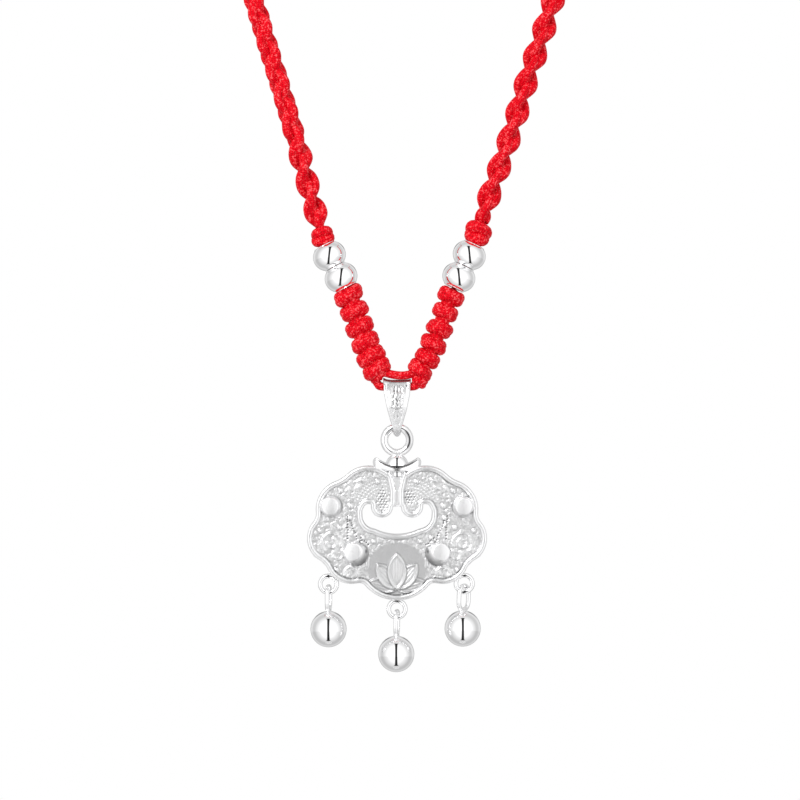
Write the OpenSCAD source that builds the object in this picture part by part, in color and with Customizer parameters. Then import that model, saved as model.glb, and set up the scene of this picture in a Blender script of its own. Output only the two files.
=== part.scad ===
// A longevity lock pendant, worn on a knotted and braided cord.
// X is across, Y runs from the chest to the nape, Z is up, and the origin is the centre of the neck.

/* [Lock plate] */
// Width of the plate over its side lobes
lock_w = 27.8; // [26:0.2:29]
// Thickness of the plate at its raised rim
lock_t = 2.4; // [2.2:0.1:3]
// Width of the raised rim
rim_w = 0.75; // [0.5:0.05:0.9]
// Height of the rim above the patterned ground
rim_h = 0.45; // [0.3:0.05:0.7]
// Height of the cast pattern above the ground
relief_h = 0.25; // [0.1:0.05:0.3]
// Width of the lines of the cast pattern
line_w = 0.32; // [0.2:0.02:0.4]
// Radius of each domed stud where it meets the ground
stud_r = 1.65; // [1.3:0.05:1.7]
// Height of each stud above the ground
stud_h = 1; // [0.6:0.1:1.2]

/* [Cap and rings] */
// Thickness of the boat-shaped cap, front to back
cap_t = 2.9; // [2.4:0.1:3.4]
// Outer diameter of the ring that the bail holds
ring_d = 5.15; // [5.05:0.05:5.3]
// Thickness of the ring's wire
ring_wire = 1.2; // [1.1:0.05:1.25]
// Outer diameter of the eyelets under the plate
eyelet_d = 3.3; // [3.25:0.05:3.4]
// Thickness of the eyelets' wire
eyelet_wire = 0.72; // [0.6:0.02:0.72]

/* [Bail] */
// Width of the bail at its top
bail_w = 4.3; // [3.8:0.1:4.4]
// Thickness of the bail's sheet
bail_wall = 0.3; // [0.25:0.01:0.32]

/* [Drops] */
// Diameter of the balls
ball_d = 5.6; // [5:0.1:5.8]
// Outer width of the loop on each ball
loop_w = 3.3; // [3.2:0.05:3.4]
// Thickness of the loop's wire
loop_wire = 0.72; // [0.6:0.02:0.72]
// Drop of each ball's centre below its eyelet's centre
drop_len = 6.95; // [6.6:0.05:7.4]

/* [Beads] */
// Diameter of the beads
bead_d = 5.2; // [4.6:0.1:5.6]
// Length of a bead along its bore
bead_len = 3.7; // [3.2:0.1:3.7]
// Diameter of the bore
bead_bore = 2.4; // [2.3:0.1:3]
// Diameter of the thread in the bore
thread_d = 2; // [1.6:0.1:2]

/* [Cord] */
// Diameter of the braid
braid_d = 3.3; // [2.8:0.1:3.6]
// Diameter of the two strands at the bail
strand_d = 1.3; // [1.1:0.05:1.3]
// Diameter of the knots in the two runs
knot_d = 4.2; // [3.6:0.1:4.2]
// Radius of the plain knot that closes the loop at the nape
closing_r = 2.6; // [2.2:0.1:3]

/* [Hidden] */

$fn = 48;
// Gap between neighbouring pieces
gap = 0.08;
// Gap between a drop's loop and its eyelet, which lie at a slant to each other
link_gap = 0.2;
// Depth that each loop is soldered into its ball
solder = 0.3;
// Past every face that a cut runs through
past = 1;
// Straight steps in an arc that is worked out
arc_steps = 10;
// The strand in the bail lies on this line of the chest, below and before the neck's centre
chest_y = -58;
chest_z = -120;
// Heights on the plate are measured from its widest line
plate_z = -23.3;
face = lock_w / 27.8;
ground_t = lock_t - rim_h;

// Lobes of the plate's outline from the top down: across, up, radius
LOBES = [[4.4, 6.2, 4.85], [7.95, 4.3, 4.6], [10, -0.15, 3.9], [7, -3.05, 4.15], [0, -3.45, 6.3]];
// Shallow notches between the lobes: across, up
NOTCHES = [[8.4, 8.9], [12.5, 3.1], [11.2, -4], [5.4, -7.4]];
// Parts of the cut-out's outline at each end: across, up, radius
HORNS = [[4.5, 4.5, 0.62], [4.3, 3.95, 1.05], [3.4, 3.25, 1.95]];
// The long lower edge of the cut-out: up, radius
belly_up = 8.25;
belly_r = 7.8;
// The round curls that hang into the cut-out: across, up, radius
curl = [2.32, 4.75, 1.7];
// The sunk web between the curls: half its width, and the length of its rims up into the collar
web_half = 0.4;
web_len = 6.2;
// Domed studs: across, up
STUDS = [[10.2, 4.75], [6.3, -2.6]];
// Small bosses of the pattern: across, up, radius
BOSSES = [[7.2, 4.85, 0.45], [7.4, 2.95, 0.45], [8.9, 1.5, 0.4], [5.3, -0.1, 0.4], [3.6, -0.65, 0.35],
    [8.7, 7.2, 0.4], [11.9, 1, 0.35], [9.4, -5.1, 0.4], [3, 8.6, 0.4]];
// Scrolls of the pattern: across, up, radius, first angle, last angle
SCROLLS = [[2.7, 5.2, 3.4, 55, 170], [3.6, 5.4, 4.4, 70, 175], [2.45, 4.65, 0.6, 0, 360],
    [10.1, -0.9, 1.5, -60, 210], [10.1, -0.9, 0.7, 90, 380], [7.1, -5.6, 1, -30, 200],
    [9.1, -2.6, 0.8, 120, 400], [7.6, 1, 0.8, 10, 250]];
// Petals of the flower under the cut-out, from its foot: turn, length, width
PETALS = [[0, 5.6, 2.9], [38, 5.1, 2.6], [74, 4.6, 2.2]];
flower_up = -8.1;
// The boat-shaped cap: half width, then heights of its tips, the ends and middle of its sole, its deck
cap_half = 3.85;
cap_top = 12.3;
cap_end = 10.9;
cap_sole = 10;
cap_dip = 11.05;
cap_tip_r = 0.55;
// The half ball on its deck: up, radius
dome = [11.05, 1.83];
// The collar under it: half width, foot, head
collar = [1, 8, 10.4];
ring_up = 15;
// Eyelets under the plate and the drops on them: name, across, up, turn of the loop, lean
DROPS = [["left", -10.6, -7.3, 82, 0], ["middle", 0, -11.15, 83, -1], ["right", 10.4, -7.2, 54, -2]];

// The bail's loop seen from the side, from the strand down: down, outer radius
BAIL_SIDE = [[0, 1.05], [3.2, 1.5], [6.48, 1.3]];
// The bail's outline from the front: half width as a share of the top's, down
BAIL_FRONT = [[1, -1.05], [0.93, 1.2], [0.7, 3.65], [0.38, 6]];
bail_tip_r = 0.58;
bail_tip = 7.22;
// Thickness of its foot, where the ring hangs
bail_foot = 0.55;

// The two bead threads: middle across, middle up, tilt
THREADS = [[-9.56, 18.53, -28.5], [10.37, 18.61, 25.3]];
// Ends of the knots in each run, from the beads to the bail
KNOTS_LEFT = [[-7.65, 0, 14.9], [-7, 0, 12.85], [-6.2, 0, 10.4], [-5.35, 0, 7.9], [-4.5, 0, 5.65],
    [-3.6, 0, 3.65], [-2.75, 0, 1.75]];
KNOTS_RIGHT = [[8.7, 0, 15], [7.9, 0, 12.75], [7, 0, 10.2], [6.1, 0, 7.7], [5.2, 0, 5.4],
    [4.2, 0, 3.4], [3, 0, 1.7]];
// Ends of the two small knots above the beads, and their radii
UPPER_LEFT = [[-11.5, 0, 22.25], [-11.95, 0, 24.8]];
UPPER_RIGHT = [[12.12, 0, 22.3], [13.05, 0, 25.5]];
upper_left_r = 1.7;
upper_right_r = 2;
// The strand that runs through the bail, and the one that bridges it
strand_reach = 4.8;
// The bends of the strands are this much thinner than the stretch that the bail turns on
bend_thin = 0.06;
BAIL_CORD = [[-4.2, 0, 2.3], [-3.7, 0, 1.1], [-3.1, 0, 0.3], [-2.45, 0, 0], [0, 0, 0], [2.45, 0, 0],
    [3.1, 0, 0.3], [3.9, 0, 1.1], [4.5, 0, 2.2]];
BRIDGE_CORD = [[-3.6, 0, 2.8], [-2.4, 0, 2.15], [-1.2, 0, 1.86], [0, 0, 1.8], [1.2, 0, 1.86],
    [2.4, 0, 2.1], [3.6, 0, 2.7]];
// The braid on each side, from the small knot over the shoulder to the nape
BRAID_LEFT = [[-12, 0, 24.9], [-13.6, 0, 30.5], [-15.2, 0, 36.6], [-16.8, 0, 42.2], [-18.6, 0, 48.2],
    [-20.4, 0, 54], [-22.2, 0, 60], [-25.5, 0.5, 70], [-31, 3, 82], [-38, 9, 93], [-46, 19, 103],
    [-53, 32, 111], [-57.5, 48, 117], [-57, 64, 121], [-52, 80, 125], [-42, 95, 128.5],
    [-29, 107, 131], [-14, 114.5, 132], [-4.2, 116, 132]];
BRAID_RIGHT = [[13.1, 0, 25.6], [14.6, 0, 30.4], [16.6, 0, 36], [18.6, 0, 42.3], [20.4, 0, 48.3],
    [22.2, 0, 53.5], [24.2, 0, 60], [27.2, 0.5, 70], [32, 3, 82], [38.5, 9, 93], [46, 19, 103],
    [53, 32, 111], [57.5, 48, 117], [57, 64, 121], [52, 80, 125], [42, 95, 128.5],
    [29, 107, 131], [14, 114.5, 132], [4.2, 116, 132]];
// The point of both routes where the braid's front stretch ends and the nape's begins
shoulder = 9;
CLOSING = [[-4.1, 116, 132], [4.1, 116, 132]];
// Radii along one knot, as shares of its own radius
KNOT_SHAPE = [0.6, 0.93, 1, 0.93];
braid_sides = 8;
knot_sides = 12;
strand_sides = 10;
rings_per_stretch = 2;
// A direction that no route starts along, which the first ring of a tube is turned to
ring_turn = [0.3, 1, 0];
// Radius of a bead's rounded side, as a share of half its length
bead_round = 1.12;

function unit(v) = v / norm(v);
function last(list) = list[len(list) - 1];
function at_angle(a, r) = r * [cos(a), sin(a)];
function arc(centre, r, first, last) = [
    for (i = [0 : arc_steps]) centre + at_angle(first + (last - first) * i / arc_steps, r)
];
function clamped(list, i) = list[min(max(i, 0), len(list) - 1)];
// Where a row of a table lies on the plate
function place(p) = face * [p[0], p[1]];
// The outline whose right half is given from the top down
function mirrored(half) = concat(half, [for (i = [len(half) - 1 : -1 : 0]) [-half[i][0], half[i][1]]]);

// A point between p1 and p2 on the smooth curve through four points
function between(p0, p1, p2, p3, t) =
    p1 + 0.5 * t * (p2 - p0 + t * (2 * p0 - 5 * p1 + 4 * p2 - p3 + t * (3 * (p1 - p2) + p3 - p0)));
function smooth(route, n) = [
    for (i = [0 : len(route) - 2], j = [0 : n - 1])
        between(clamped(route, i - 1), route[i], route[i + 1], clamped(route, i + 2), j / n),
    last(route)
];
function tangents(points) = [
    for (i = [0 : len(points) - 1]) unit(clamped(points, i + 1) - clamped(points, i - 1))
];
function square_to(v, t) = unit(v - (v * t) * t);
// One direction carried along the curve, so that the rings of a tube don't twist
function carried(t, i) = square_to(i == 0 ? ring_turn : carried(t, i - 1), t[i]);
function knot_radii(count, r) = [for (i = [1 : count]) each r * KNOT_SHAPE, r * KNOT_SHAPE[0]];

// A closed tube along points, with one radius for each, from its first ring to its last
module tube(points, radii, sides, first, last) {
    t = tangents(points);
    n = [for (i = [0 : last]) carried(t, i)];
    corners = [
        for (i = [first : last], k = [0 : sides - 1])
            let (a = 360 * k / sides)
            points[i] + radii[i] * (cos(a) * n[i] + sin(a) * cross(t[i], n[i]))
    ];
    walls = [
        for (i = [0 : last - first - 1], k = [0 : sides - 1])
            let (a = i * sides + k, b = i * sides + (k + 1) % sides)
            each [[a, a + sides, b], [b, a + sides, b + sides]]
    ];
    first_end = [for (k = [0 : sides - 1]) k];
    last_end = [for (k = [0 : sides - 1]) len(corners) - 1 - k];
    polyhedron(corners, concat(walls, [first_end, last_end]));
}

module strand(route) {
    tube(route, [for (p = route) (strand_d - bend_thin) / 2], strand_sides, 0, len(route) - 1);
}

module knots(ends, r) {
    points = smooth(ends, len(KNOT_SHAPE));
    tube(points, knot_radii(len(ends) - 1, r), knot_sides, 0, len(points) - 1);
}

// The braid from one point of its route to another, with whole rings at both
module braid(route, from, to) {
    points = smooth(route, rings_per_stretch);
    radii = [for (p = points) braid_d / 2];
    tube(points, radii, braid_sides, rings_per_stretch * from, rings_per_stretch * to);
}

module both_sides() {
    children();
    mirror([1, 0]) children();
}

module chest() {
    translate([0, chest_y, chest_z]) children();
}

// The plate's own space: across, up, and towards the viewer from its back
module on_plate() {
    chest() translate([0, lock_t / 2, plate_z]) rotate([90, 0, 0]) children();
}

module plate_2d(inset) {
    both_sides() for (p = LOBES) translate(place(p)) circle(face * p[2] - inset);
    polygon(mirrored([for (p = NOTCHES) place(p) * (1 - inset / norm(place(p)))]));
}

// The cut-out, grown by an amount into the metal round it
module cut_2d(grow) {
    belly_half = face * HORNS[1][0];
    belly_top = face * HORNS[2][1];
    difference() {
        union() {
            both_sides() for (p = HORNS) translate(place(p)) circle(face * p[2] + grow);
            intersection() {
                translate([0, face * belly_up]) circle(face * belly_r + grow);
                translate([-belly_half, -past]) square([2 * belly_half, past + belly_top]);
            }
            translate([-face * curl[0], belly_top])
                square([2 * face * curl[0], face * curl[1] - belly_top]);
        }
        both_sides() curl_2d(face * curl[2] - grow);
    }
}

// A curl, which is open to the plate above it
module curl_2d(r) {
    middle = place(curl);
    polygon([each arc(middle, r, 180, 360), middle + [r, 2 * r], middle + [-r, 2 * r]]);
}

module slit_2d(half) {
    translate([-half, face * curl[1] - past / 2]) square([2 * half, web_len]);
}

module rim_2d() {
    difference() {
        plate_2d(0);
        plate_2d(rim_w);
    }
    intersection() {
        plate_2d(0);
        union() {
            cut_2d(rim_w);
            slit_2d(web_half + rim_w);
        }
    }
}

module sector_2d(r, first, last) {
    polygon([[0, 0], each arc([0, 0], r, first, last)]);
}

module scroll_2d(r, first, last) {
    intersection() {
        difference() {
            circle(r + line_w / 2);
            circle(r - line_w / 2);
        }
        if (last - first < 360) sector_2d(2 * r + line_w, first, last);
    }
}

module petal_2d(length, width, inset) {
    r = (length * length + width * width) / (4 * width);
    translate([0, length / 2]) intersection_for (s = [-1, 1])
        translate([s * (r - width / 2), 0]) circle(r - inset);
}

module flower_2d() {
    translate([0, flower_up]) both_sides() for (i = [0 : len(PETALS) - 1]) {
        difference() {
            rotate(-PETALS[i][0]) petal_2d(PETALS[i][1], PETALS[i][2], 0);
            rotate(-PETALS[i][0]) petal_2d(PETALS[i][1], PETALS[i][2], line_w);
            if (i > 0) rotate(-PETALS[i - 1][0]) petal_2d(PETALS[i - 1][1], PETALS[i - 1][2], 0);
        }
    }
}

module relief_2d() {
    intersection() {
        plate_2d(rim_w / 2);
        union() {
            both_sides() for (p = BOSSES) translate(place(p)) circle(p[2]);
            both_sides() for (p = SCROLLS) translate(place(p)) scroll_2d(p[2], p[3], p[4]);
            flower_2d();
        }
    }
}

module stud(r, h) {
    dome_r = (r * r + h * h) / (2 * h);
    intersection() {
        translate([0, 0, h - dome_r]) sphere(dome_r);
        cylinder(r = r + past, h = h + past);
    }
}

// The right half of an arc that dips to a height and passes through a point
function dipped(low, point) = let (
    r = (pow(point[0], 2) + pow(point[1] - low, 2)) / (2 * (point[1] - low))
) arc([0, low + r], r, -90, asin(point[0] / r) - 90);
function reversed(list) = [for (i = [len(list) - 1 : -1 : 0]) list[i]];

// A boat whose sole and deck are arcs, with round tips
module cap_2d() {
    tip = [cap_half - cap_tip_r, cap_top - cap_tip_r];
    polygon(mirrored([
        each dipped(cap_dip, tip + cap_tip_r * [-1, 0.5]),
        each arc(tip, cap_tip_r, 150, -20),
        each reversed(dipped(cap_sole, [cap_half, cap_end]))
    ]));
}

module wire_ring(d, wire) {
    rotate_extrude() translate([(d - wire) / 2, 0]) circle(wire / 2);
}

module cap() {
    translate([0, 0, (lock_t - cap_t) / 2]) {
        linear_extrude(cap_t) cap_2d();
        intersection() {
            translate([0, dome[0], cap_t / 2]) sphere(dome[1]);
            translate([-cap_half, dome[0], 0]) cube([2 * cap_half, 2 * dome[1], cap_t]);
        }
    }
    translate([-collar[0], collar[1], 0]) cube([2 * collar[0], collar[2] - collar[1], lock_t]);
}

module lock() color("gainsboro") on_plate() {
    difference() {
        union() {
            linear_extrude(ground_t) plate_2d(0);
            linear_extrude(lock_t) difference() {
                rim_2d();
                slit_2d(web_half);
            }
            linear_extrude(ground_t + relief_h) relief_2d();
            for (p = STUDS, s = [-1, 1])
                translate([s * face * p[0], face * p[1], ground_t]) stud(stud_r, stud_h);
        }
        translate([0, 0, -past]) linear_extrude(lock_t + 2 * past) cut_2d(0);
    }
    cap();
    translate([0, ring_up, lock_t / 2]) wire_ring(ring_d, ring_wire);
    for (p = DROPS)
        translate([face * p[1], face * p[2], lock_t / 2]) wire_ring(eyelet_d, eyelet_wire);
}

// The right half of the outline round circles in a column, from the top down
function column_half(rows) = let (
    turns = [
        90,
        for (i = [1 : len(rows) - 1]) asin((rows[i][1] - rows[i - 1][1]) / (rows[i][0] - rows[i - 1][0])),
        -90
    ]
) [for (i = [0 : len(rows) - 1]) each arc([0, -rows[i][0]], rows[i][1], turns[i], turns[i + 1])];

module bail_side_2d(wall, foot) {
    low = len(BAIL_SIDE) - 1;
    polygon(mirrored(column_half([
        for (i = [0 : low]) BAIL_SIDE[i] - [0, i == low ? foot : wall]
    ])));
}

module bail_front_2d() {
    polygon(mirrored([
        for (p = BAIL_FRONT) [p[0] * bail_w / 2, -p[1]],
        each arc([0, -bail_tip], bail_tip_r, 0, -90)
    ]));
}

// A folded sheet whose head is bored round the strand
module bail() color("gainsboro") chest() difference() {
    intersection() {
        rotate([90, 0, 90]) translate([0, 0, -bail_w]) linear_extrude(2 * bail_w) difference() {
            bail_side_2d(0, 0);
            bail_side_2d(bail_wall + gap, bail_foot);
        }
        rotate([90, 0, 0]) translate([0, 0, -bail_w]) linear_extrude(2 * bail_w) bail_front_2d();
    }
    rotate([0, 90, 0]) cylinder(r = BAIL_SIDE[0][1] - bail_wall, h = 3 * bail_w, center = true);
}

// An upright oval loop whose top is at the origin
module oval_loop(w, h, wire) {
    a = (w - wire) / 2;
    side = h - w;
    translate([0, 0, -w / 2]) rotate([90, 0, 0]) {
        rotate_extrude(angle = 180) translate([a, 0]) circle(wire / 2);
        translate([0, -side, 0]) rotate(180) rotate_extrude(angle = 180) translate([a, 0]) circle(wire / 2);
    }
    for (s = [-1, 1]) translate([s * a, 0, -w / 2 - side]) cylinder(d = wire, h = side);
}

module drop(i) {
    loop_top = -eyelet_d / 2 + eyelet_wire + loop_wire + link_gap;
    loop_h = drop_len - ball_d / 2 + loop_top + solder;
    hang = [face * DROPS[i][1], 0, plate_z + face * DROPS[i][2]];
    chest() translate(hang) rotate([0, -DROPS[i][4], 0]) {
        rotate(DROPS[i][3]) translate([0, 0, loop_top]) oval_loop(loop_w, loop_h, loop_wire);
        translate([0, 0, -drop_len]) rotate([90, 0, 0]) sphere(d = ball_d);
    }
}
module drop_left() color("gainsboro") drop(0);
module drop_middle() color("gainsboro") drop(1);
module drop_right() color("gainsboro") drop(2);

// The strands stop short of the knots that hold their ends
module clear_of_knots() {
    difference() {
        children();
        knots(KNOTS_LEFT, knot_d / 2 + gap);
        knots(KNOTS_RIGHT, knot_d / 2 + gap);
    }
}
module bail_cord() color("red") chest() {
    clear_of_knots() strand(BAIL_CORD);
    rotate([0, 90, 0]) cylinder(d = strand_d, h = strand_reach, center = true);
}
module bridge_cord() color("red") chest() clear_of_knots() strand(BRIDGE_CORD);
module knots_left() color("red") chest() knots(KNOTS_LEFT, knot_d / 2);
module knots_right() color("red") chest() knots(KNOTS_RIGHT, knot_d / 2);
module upper_knot_left() color("red") chest() knots(UPPER_LEFT, upper_left_r);
module upper_knot_right() color("red") chest() knots(UPPER_RIGHT, upper_right_r);

// A bead thread's own space, with its axis up and its middle at the origin
module on_thread(i) {
    chest() translate([THREADS[i][0], 0, THREADS[i][1]]) rotate([0, THREADS[i][2], 0]) children();
}
module thread(i) {
    length = 2 * (bead_len + gap);
    on_thread(i) translate([0, 0, -length / 2]) cylinder(d = thread_d, h = length);
}
module thread_left() color("red") thread(0);
module thread_right() color("red") thread(1);

// A round bead with flat bored ends
module bead(i, side) {
    half = bead_len / 2;
    on_thread(i) translate([0, 0, side * (half + gap / 2)]) rotate_extrude() intersection() {
        translate([bead_d / 2 - half, 0]) circle(bead_round * half);
        translate([bead_bore / 2, -bead_len / 2]) square([(bead_d - bead_bore) / 2, bead_len]);
    }
}
module bead_left_low() color("gainsboro") bead(0, -1);
module bead_left_top() color("gainsboro") bead(0, 1);
module bead_right_low() color("gainsboro") bead(1, -1);
module bead_right_top() color("gainsboro") bead(1, 1);

module braid_left_front() color("red") chest() braid(BRAID_LEFT, 0, shoulder);
module braid_left_nape() color("red") chest() braid(BRAID_LEFT, shoulder, len(BRAID_LEFT) - 1);
module braid_right_front() color("red") chest() braid(BRAID_RIGHT, 0, shoulder);
module braid_right_nape() color("red") chest() braid(BRAID_RIGHT, shoulder, len(BRAID_RIGHT) - 1);
module closing_knot() color("red") chest() knots(CLOSING, closing_r);

lock();
bail();
drop_left();
drop_middle();
drop_right();
bail_cord();
bridge_cord();
knots_left();
knots_right();
thread_left();
thread_right();
bead_left_low();
bead_left_top();
bead_right_low();
bead_right_top();
upper_knot_left();
upper_knot_right();
braid_left_front();
braid_left_nape();
braid_right_front();
braid_right_nape();
closing_knot();
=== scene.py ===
import math

import bpy
import numpy as np
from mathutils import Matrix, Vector
from mathutils.geometry import delaunay_2d_cdt
from mathutils.kdtree import KDTree


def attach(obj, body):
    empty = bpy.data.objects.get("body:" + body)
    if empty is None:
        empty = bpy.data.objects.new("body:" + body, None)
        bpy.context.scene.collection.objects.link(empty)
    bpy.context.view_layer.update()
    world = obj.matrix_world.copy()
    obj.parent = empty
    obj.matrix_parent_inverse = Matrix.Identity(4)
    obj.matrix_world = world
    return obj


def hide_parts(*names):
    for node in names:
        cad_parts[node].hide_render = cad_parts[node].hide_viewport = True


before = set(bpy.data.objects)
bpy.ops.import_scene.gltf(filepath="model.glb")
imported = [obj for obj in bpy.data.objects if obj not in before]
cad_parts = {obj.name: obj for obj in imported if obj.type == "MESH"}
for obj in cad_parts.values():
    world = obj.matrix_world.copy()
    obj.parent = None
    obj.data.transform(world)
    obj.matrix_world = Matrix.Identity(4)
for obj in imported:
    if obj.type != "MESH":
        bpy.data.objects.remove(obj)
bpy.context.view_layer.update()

# All sizes are in millimetres, in the frame of the CAD model. X is across, Y runs from the chest to
# the nape, Z is up. Places near the lock are measured from the point where the bail hangs.
MM = 0.001
CHEST = np.array([0.0, -58.0, -120.0])
SEED = 11

# The photograph's view of the lock: the camera's place across and up, and its lens
VIEW_ACROSS = 0.46
VIEW_UP = -122.1
VIEW_DISTANCE = 343.9
LENS = 100.0
SENSOR = 36.0


def add_camera():
    data = bpy.data.cameras.new("camera")
    data.lens = LENS
    data.sensor_width = SENSOR
    data.clip_start = 0.01
    camera = bpy.data.objects.new("camera", data)
    camera.location = [VIEW_ACROSS * MM, (CHEST[1] - VIEW_DISTANCE) * MM, VIEW_UP * MM]
    camera.rotation_euler = [math.pi / 2, 0, 0]
    bpy.context.collection.objects.link(camera)
    bpy.context.scene.camera = camera


add_camera()

# Cord

# Close to the routes of part.scad: the braid on each side, the runs of knots, the strands at the bail
BRAID_LEFT = [[-12, 0, 24.9], [-13.6, 0, 30.5], [-15.2, 0, 36.6], [-16.8, 0, 42.2], [-18.6, 0, 48.2],
              [-20.4, 0, 54], [-22.2, 0, 60], [-25.5, 0.5, 70], [-31, 3, 82], [-38, 9, 93]]
BRAID_RIGHT = [[13.1, 0, 25.6], [14.6, 0, 30.4], [16.6, 0, 36], [18.6, 0, 42.3], [20.4, 0, 48.3],
               [22.2, 0, 53.5], [24.2, 0, 60], [27.2, 0.5, 70], [32, 3, 82], [38.5, 9, 93]]
# Both braids end the same way, over the shoulder and to the nape
TO_NAPE = [[46, 19, 103], [53, 32, 111], [57.5, 48, 117], [57, 64, 121], [52, 80, 125], [42, 95, 128.5],
           [29, 107, 131], [14, 114.5, 132], [4.2, 116, 132]]
BRAID_LEFT += [[-x, y, z] for x, y, z in TO_NAPE]
BRAID_RIGHT += TO_NAPE
KNOTS_LEFT = [[-8.03, 0, 15.42], [-7, 0, 12.85], [-6.2, 0, 10.4], [-5.35, 0, 7.9], [-4.5, 0, 5.65],
              [-3.6, 0, 3.65], [-2.75, 0, 1.75]]
KNOTS_RIGHT = [[8.8, 0, 15.2], [7.9, 0, 12.75], [7, 0, 10.2], [6.1, 0, 7.7], [5.2, 0, 5.4],
               [4.2, 0, 3.4], [3, 0, 1.7]]
UPPER_LEFT = [[-11.3, 0, 21.95], [-11.75, 0, 24.5]]
UPPER_RIGHT = [[12.05, 0, 22.1], [12.95, 0, 25.3]]
CLOSING = [[-4.1, 116, 132], [-1.35, 116, 132], [1.35, 116, 132], [4.1, 116, 132]]
# The last turn of each run beside the bail: its lower and upper end, and its half width
TAIL_LEFT = [[-2.7, 0, 1.0], [-3.2, 0, 2.2], 1.45]
TAIL_RIGHT = [[3.1, 0, 0.2], [3.7, 0, 1.4], 1.35]
BAIL_CORD = [[-3.8, 0, 2.3], [-3.4, 0, 1.15], [-2.95, 0, 0.35], [-2.45, 0, 0], [0, 0, 0], [2.45, 0, 0],
             [3.1, 0, 0.3], [3.9, 0, 1.1], [4.5, 0, 2.2]]
BRIDGE_CORD = [[-3.6, 0, 2.85], [-2.4, -0.15, 2.35], [-1.2, -0.35, 1.95], [0, -0.48, 1.72],
               [1.2, -0.48, 1.7], [2.4, -0.25, 2.0], [3.6, 0, 2.6]]
# The bead threads: middle across, middle up, tilt
THREADS = [[-9.56, 18.53, -28.5], [10.37, 18.61, 25.3]]
# Radii of the strands at the bail, of the strand in the last turns and of the cord inside the beads
BAIL_CORD_R = 0.64
BRIDGE_CORD_R = 0.65
TAIL_STRAND_R = 0.62
THREAD_R = 0.98

STRAND_R = 0.7
BRAID_STEP = 0.3
BRAID_SIDES = 12
BRAID_SPREAD = 1.18
BRAID_TUCK = 0.3
# How close the strands are at the braid's ends, and over what length they part
GATHER = 0.4
GATHER_LENGTH = 1.6
# Length from bulge to bulge, and where the first bulge lies on the route
BRAID_PITCH = 4.55
BULGE_LEFT = 2.2
BULGE_RIGHT = 4.1
# The left braid is seen turned above this length of its route, where it is also flatter and fuller
TURN_START = 9.0
TURN_LENGTH = 7.0
LEFT_TURN = math.radians(45)
TURN_FLAT = 0.75
TURN_FULL = 0.09

# Wire and sheet sizes of part.scad
BALL_R = 2.8
DROP_LEN = 6.95
EYELET_D = 3.3
EYELET_WIRE = 0.72
LOOP_W = 3.3
LOOP_WIRE = 0.72
LINK_GAP = 0.2
SOLDER = 0.3
# Drops: name, place of the eyelet across and up, turn of the loop, lean
DROPS = [["left", -10.6, -7.3, 82, 0], ["middle", 0, -11.15, 83, -1], ["right", 10.4, -7.2, 54, -2]]
BEAD_LEN = 3.7
BEAD_R = 2.6
BEAD_BORE_R = 1.2
BEAD_GAP = 0.08
# Heights on the plate are measured from its widest line, which lies this far up
PLATE_Z = -23.3


def unit(vectors):
    return vectors / np.linalg.norm(vectors, axis=-1, keepdims=True)


def smooth(route, steps):
    """Points on the smooth curve through a route."""
    ends = [route[0]] + list(route) + [route[-1]]
    rows = []
    for p0, p1, p2, p3 in zip(*[np.array(ends[i:len(ends) - 3 + i], float) for i in range(4)]):
        for t in np.arange(steps) / steps:
            slope = p2 - p0 + t * (2 * p0 - 5 * p1 + 4 * p2 - p3 + t * (3 * (p1 - p2) + p3 - p0))
            rows.append(p1 + 0.5 * t * slope)
    return np.array(rows + [np.array(route[-1], float)])


def lengths(points):
    return np.concatenate([[0], np.cumsum(np.linalg.norm(np.diff(points, axis=0), axis=1))])


def even(points, step):
    """The same curve with evenly spaced points, and how far along it each of them lies."""
    far = lengths(points)
    s = np.linspace(0, far[-1], max(2, round(far[-1] / step) + 1))
    return np.stack([np.interp(s, far, points[:, i]) for i in range(3)], axis=1), s


def frames(points, side):
    """Two directions square to a curve and to each other, carried along it without twist."""
    tangent = unit(np.gradient(points, axis=0))
    across = np.empty_like(points)
    v = np.array(side, float)
    for i, t in enumerate(tangent):
        v = unit(v - (v @ t) * t)
        across[i] = v
    return across, np.cross(tangent, across)


def full_turn(count):
    return 2 * np.pi * np.arange(count) / count


def places(x, y, up):
    """Points from three coordinates, each of them a number or an array."""
    return np.stack(np.broadcast_arrays(x, y, up), axis=-1)


class Build:
    """The points, faces, pattern coordinates and surface marks of one piece."""

    def __init__(self):
        self.points = []
        self.faces = []
        self.pattern = []
        self.marks = {"matt": [], "groove": []}
        self.count = 0

    def add(self, points, faces, pattern=None, matt=0.0, groove=0.0):
        points = np.asarray(points, float)
        self.points.append(points)
        for name, value in (("matt", matt), ("groove", groove)):
            self.marks[name].append(np.broadcast_to(value, len(points)))
        for face in faces:
            self.faces.append([int(k) + self.count for k in face])
        corners = sum(len(face) for face in faces)
        self.pattern.append(np.zeros((corners, 2)) if pattern is None else np.reshape(pattern, (-1, 2)))
        self.count += len(points)


def grid_faces(rows, columns, wrap_rows, wrap_columns):
    """Quads of a grid of points, row by row, with each corner's row and column count."""
    i, k = np.meshgrid(np.arange(rows - (not wrap_rows)), np.arange(columns - (not wrap_columns)),
                       indexing="ij")
    i, k = i.ravel(), k.ravel()
    corner_rows = np.stack([i, i + 1, i + 1, i], axis=1)
    corner_columns = np.stack([k, k, k + 1, k + 1], axis=1)
    faces = (corner_rows % rows) * columns + corner_columns % columns
    return faces, corner_rows, corner_columns


def skin(rows, columns, closed, inward=False):
    """Faces over rows of points that are rings, with flat ends unless the rows close too."""
    faces = grid_faces(rows, columns, closed, True)[0].tolist()
    if not closed:
        faces += [list(range(columns)), list(range(rows * columns - 1, (rows - 1) * columns - 1, -1))]
    return [face[::-1] for face in faces] if inward else faces


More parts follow.
